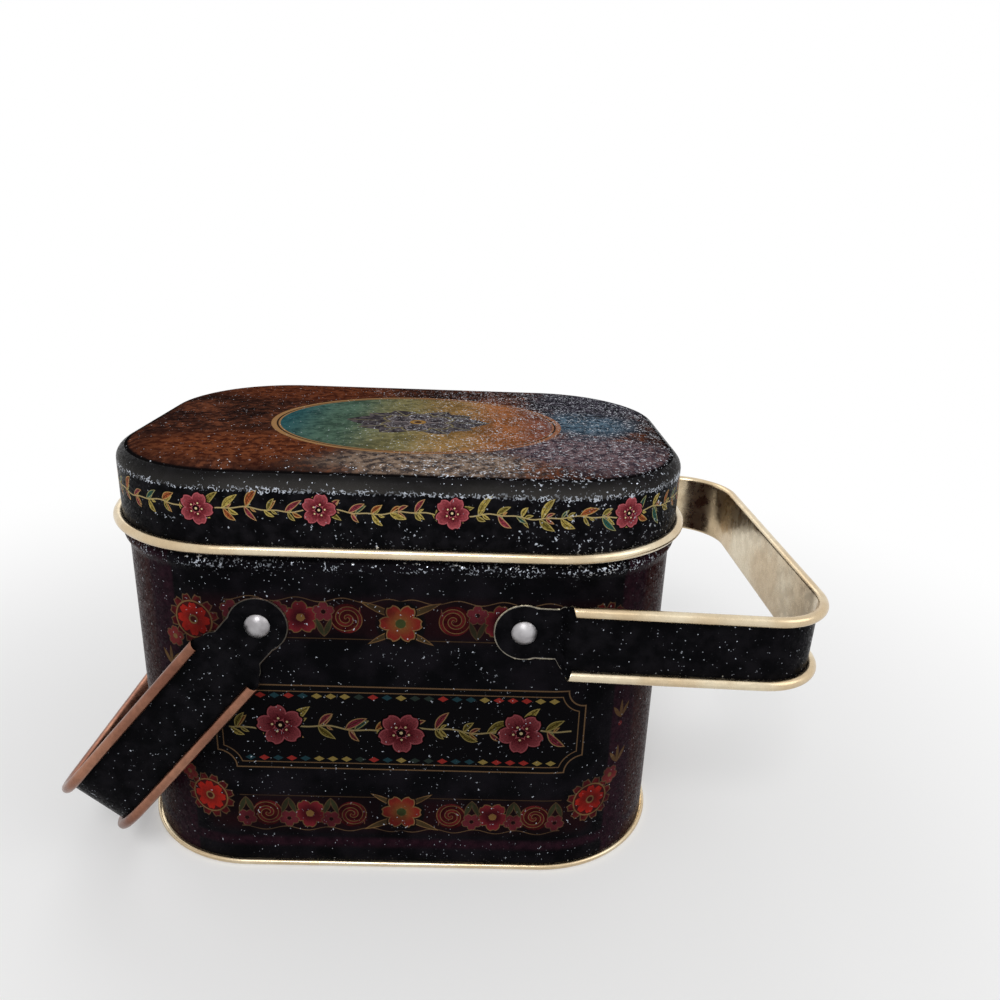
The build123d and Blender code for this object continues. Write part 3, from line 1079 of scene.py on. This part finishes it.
def borders(q, z, grain, crimson):
    """Coats of the borders over and under the panel."""
    band = abs(z - BORDER_MIDDLE) - BORDER_RISE
    roll = (q - FIRST_SCROLL).wrap(HALF_PITCH)
    swell = (q * (tau / 2 / HALF_PITCH)).math("SINE")
    in_band = inside(q - BORDER_END, 0.1)
    return [
        *border_scrolls(q, band, roll, crimson),
        *border_flowers(q, band, roll, grain),
        (outline(band + 4.9, 0.1) * in_band, shade(LINE, 0.5)),
        (outline(band - 4.3 - swell * 0.5, 0.1) * in_band, LINE),
    ]


def border_rosettes(p, z, grain):
    """Coats of a rosette between golden leaves, in the middle of each border."""
    rise = abs(z - BORDER_MIDDLE) - ROSETTE_RISE
    outer, _ = leaf(abs(p), rise - 1.2, 0.42, 9.2, 0.15)
    inner, _ = leaf(abs(p), rise + 1.2, -0.5, 7.8, 0.15)
    fronds = outer.at_most(inner)
    edge, r, _ = petals(p, rise, 4.8, 6, 0.5)
    return [
        (inside(r - 5.4, 0.3), srgb(12, 12, 13)),
        (inside(fronds), srgb(62, 50, 32)),
        (outline(fronds, 0.1), GOLD),
        (inside(edge - 0.3), srgb(10, 9, 10)),
        (inside(edge), mix(ramp(r + grain, 1, 4.4), srgb(104, 66, 36), srgb(108, 34, 28))),
        (outline(edge + 0.1, 0.12), GOLD),
        (inside(r - 1.1), srgb(52, 60, 34)),
    ]


def corner_roundels(q, z, grain, crimson):
    """Coats of a red roundel at each of the panel's corners."""
    du, dz = q - ROUNDEL_PLACE[0], abs(z - ROUNDEL_MIDDLE) - ROUNDEL_PLACE[1]
    rim, r, _ = petals(du, dz, 6.3, 12)
    heart, _, _ = petals(du, dz, 4.1, 8, 0.5)
    return [
        (inside(rim), shade(crimson, 0.8)),
        (outline(rim, 0.1), LINE),
        (inside(r - 4.5), GOLD),
        (inside(r - 4.15), srgb(64, 20, 20)),
        (inside(heart), mix(ramp(r + grain * 2, 1, 5.5), srgb(96, 26, 22), srgb(156, 34, 26))),
        (inside(r - 1.1), GOLD),
        (inside(r - 0.7), srgb(60, 24, 20)),
    ]


def side_sprays(q, z):
    """Coats of the sprays up the panel's sides, and of a flower at either end."""
    flower_rise = abs(z - ROUNDEL_MIDDLE) - SIDE_FLOWER_PLACE[1]
    flower, heart, _ = petals(q - SIDE_FLOWER_PLACE[0], flower_rise, 2.5, 5, 0.25)
    climb = (z - ROUNDEL_MIDDLE).wrap(HALF_SPRAY_PITCH)
    lean = abs(q - SPRAY_LINE)
    spray, _ = leaf(lean, climb + 2.4, 0.95, 4.4, 0.24)
    upright, _ = leaf(climb + 2.4, lean, 0.0, 4.8, 0.2)
    in_side = inside(abs(z - ROUNDEL_MIDDLE) - SPRAY_END, 0.1)
    return [
        (inside(flower), srgb(104, 40, 40)),
        (outline(flower, 0.1), LINE),
        (inside(heart - 0.6), GOLD),
        (inside(spray.at_most(upright)) * in_side, srgb(100, 76, 46)),
        (inside(length(lean, climb + 4.0) - 0.6) * in_side, srgb(112, 38, 34)),
    ]


def label_panel(p, label, rise):
    """Coats of the panel and its two rows of lozenges."""
    q = abs(p)
    chance, _, _ = hashed((p / (2 * HALF_BEAD_PITCH) + 0.5).math("FLOOR"), 5.5)
    lozenge = abs(q.wrap(HALF_BEAD_PITCH)) * 0.6 + abs(rise + 2.6) - 0.72
    colours = ((0, 118, 36, 32), (0.42, 26, 48, 54), (0.7, 32, 40, 36), (0.84, 112, 96, 52))
    return [
        (inside(label), srgb(10, 9, 11)),
        (outline(label, 0.16), LINE),
        (outline(label + 1.5, 0.12), LINE),
        (inside(lozenge) * inside(label + PANEL_RIM) * inside(q - BEADS_END, 0.1), pick(chance, colours)),
    ]


def wall_print():
    """The wall's print, the same on the front and the back."""
    s, z = print_place()
    p = s.wrap(GIRTH / 4) - PRINT_SHIFT
    q = abs(p)
    cloud, grain = noise(120, 3), noise(700, 3)
    crimson = mottled(grain, srgb(62, 16, 22), srgb(96, 30, 30))
    bare = wall_ground(q, z, cloud, grain)
    ornament = paint(
        bare,
        *borders(q, z, grain, crimson),
        *border_rosettes(p, z, grain),
        *corner_roundels(q, z, grain, crimson),
        *side_sprays(q, z),
    )
    uneven = mix(ramp(noise(140, 3), 0.42, 0.62, 0.05, 0.5), ornament, bare)
    w, h = q - PANEL_HALF[0], abs(z - PANEL_MIDDLE) - PANEL_HALF[1]
    label = w.at_least(h).at_least(length(w, h) * -1 + PANEL_SCOOP)
    seam = s - GIRTH / 2 + SEAM_WIDTH / 2
    ground = paint(
        uneven,
        *label_panel(p, label, h),
        # The seam: a dark line in its groove, and beside it a pale line of bare metal at the sheet's edge
        # that is partly a painted highlight.
        (outline(seam, 0.14), srgb(3, 3, 4)),
        (outline(seam - 0.24, 0.07), srgb(74, 68, 58)),
    )
    garland = vine(ground, p, z - PANEL_MIDDLE, PANEL_FLOWERS, 1.5, 0.42)
    ground = mix(inside(label + PANEL_RIM) * inside(q - GARLAND_END, 0.1), ground, garland)
    # Painted highlight: glints thickened along the stop bead's crest.
    bead_highlight = ramp(abs(z - STOP_BEAD_HEIGHT), 1.8, 0.8) * ramp(noise(160, 2), 0.35, 0.65, 0.7, 2.8)
    return lacquered(ground, ramp(noise(50, 2), 0.4, 0.65, 0.05, 0.35) + bead_highlight)


# ---------- the part
printed = material("printed_lacquer", wall_print)
lid_printed = material("lid_skirt_print", skirt_print)
lid_top = material("lid_top_print", top_print)
gold = material("gold_lacquer", gold_lacquer)
# The left handle's gold, painted darker and coppery as painted shade.
shaded_gold = material("shaded_gold_lacquer", shaded_gold_lacquer)
edge = material("cut_edge", lambda: cut_edge(srgb(132, 124, 106), srgb(186, 177, 152)))
# A darker copy of the cut edge, as painted shade on the left handle.
shaded_edge = material("shaded_cut_edge", lambda: cut_edge(srgb(46, 38, 34), srgb(84, 66, 56)))
worn_black = material("worn_strap_lacquer", lambda: strap_lacquer(0.8))
# The same black as the right handle's, with less of its worn edge showing, as painted shade.
shaded_black = material("shaded_strap_lacquer", lambda: strap_lacquer(0.22))
aluminium = material("satin_aluminium", satin_aluminium)
make_wall([printed, gold, edge])
make_bottom([gold, gold])
make_lid([lid_printed, gold, edge, lid_top])
make_handle("strap_right", 1, RIGHT_ANGLE, [worn_black, gold, edge], "handle_right")
# The left handle takes darker copies of the lacquers and the cut edge, as painted shade.
make_handle("strap_left", -1, LOWERED_ANGLE, [shaded_black, shaded_gold, shaded_edge], "handle_left")
make_rivets("domed_rivets_right", 1, [aluminium], "rivets_right")
make_rivets("domed_rivets_left", -1, [aluminium], "rivets_left")


# ---------- stage, lights and camera
def seen_or_mirrored():
    """1 for what the camera sees, directly, in a mirror or through glass."""
    path = node("ShaderNodeLightPath")
    seen = Value(path.outputs["Is Camera Ray"]).at_least(Value(path.outputs["Is Glossy Ray"]))
    return seen.at_least(Value(path.outputs["Is Transmission Ray"]))


def pale_floor():
    """A pale floor that passes into a white background."""
    x, y, _ = parts_of(object_place())
    away = ramp(length(x, y), 0.1, 0.3, 0.3, 1.0) * seen_or_mirrored()
    pale = mix(noise(6, 3), (0.88, 0.88, 0.88), (0.9, 0.9, 0.9))
    return {
        "Base Color": shade(pale, away * -1 + 1),
        "Roughness": 0.9,
        "Specular IOR Level": 0.0,
        "Emission Color": (1, 1, 1, 1),
        "Emission Strength": away,
    }


def make_floor():
    bm = bmesh.new()
    bmesh.ops.create_grid(bm, x_segments=1, y_segments=1, size=FLOOR_SIZE)
    floor = add_mesh("floor", bm)
    floor.location.z = -FLOOR_DROP
    floor.data.materials.append(material("pale_floor", pale_floor))


def make_lamp(name, place, size, watts):
    data = bpy.data.lights.new(name, "AREA")
    data.shape = "DISK"
    data.size = size
    data.energy = watts
    lamp = add_object(name, data)
    lamp.location = place
    lamp.rotation_euler = (Vector(LAMP_TARGET) - Vector(place)).to_track_quat("-Z", "Y").to_euler()


def make_camera():
    data = bpy.data.cameras.new("camera")
    data.sensor_width = SENSOR
    data.lens = SENSOR * FOCAL_PIXELS / FRAME_PIXELS
    data.clip_start = 0.01
    data.clip_end = 20.0
    camera = add_object("camera", data)
    right = Vector(CAMERA_RIGHT).normalized()
    back = Vector(CAMERA_BACK)
    back = (back - right * back.dot(right)).normalized()
    placed = Matrix((right, back.cross(right), back)).transposed().to_4x4()
    placed.translation = [c * MM for c in CAMERA_PLACE]
    camera.matrix_world = placed
    bpy.context.scene.camera = camera


def make_world():
    """White where it is seen or mirrored, and a little darker as a light."""
    world = bpy.data.worlds.new("world")
    bpy.context.scene.world = world
    world.use_nodes = True
    Value.tree = world.node_tree
    background = world.node_tree.nodes["Background"]
    background.inputs["Color"].default_value = (1, 1, 1, 1)
    plug(ramp(seen_or_mirrored(), 0, 1, WORLD_LIGHT, 1.0, smooth=False), background.inputs["Strength"])


make_floor()
for lamp in LAMPS:
    make_lamp(*lamp)
make_camera()
make_world()
bpy.context.scene.view_settings.view_transform = "Standard"
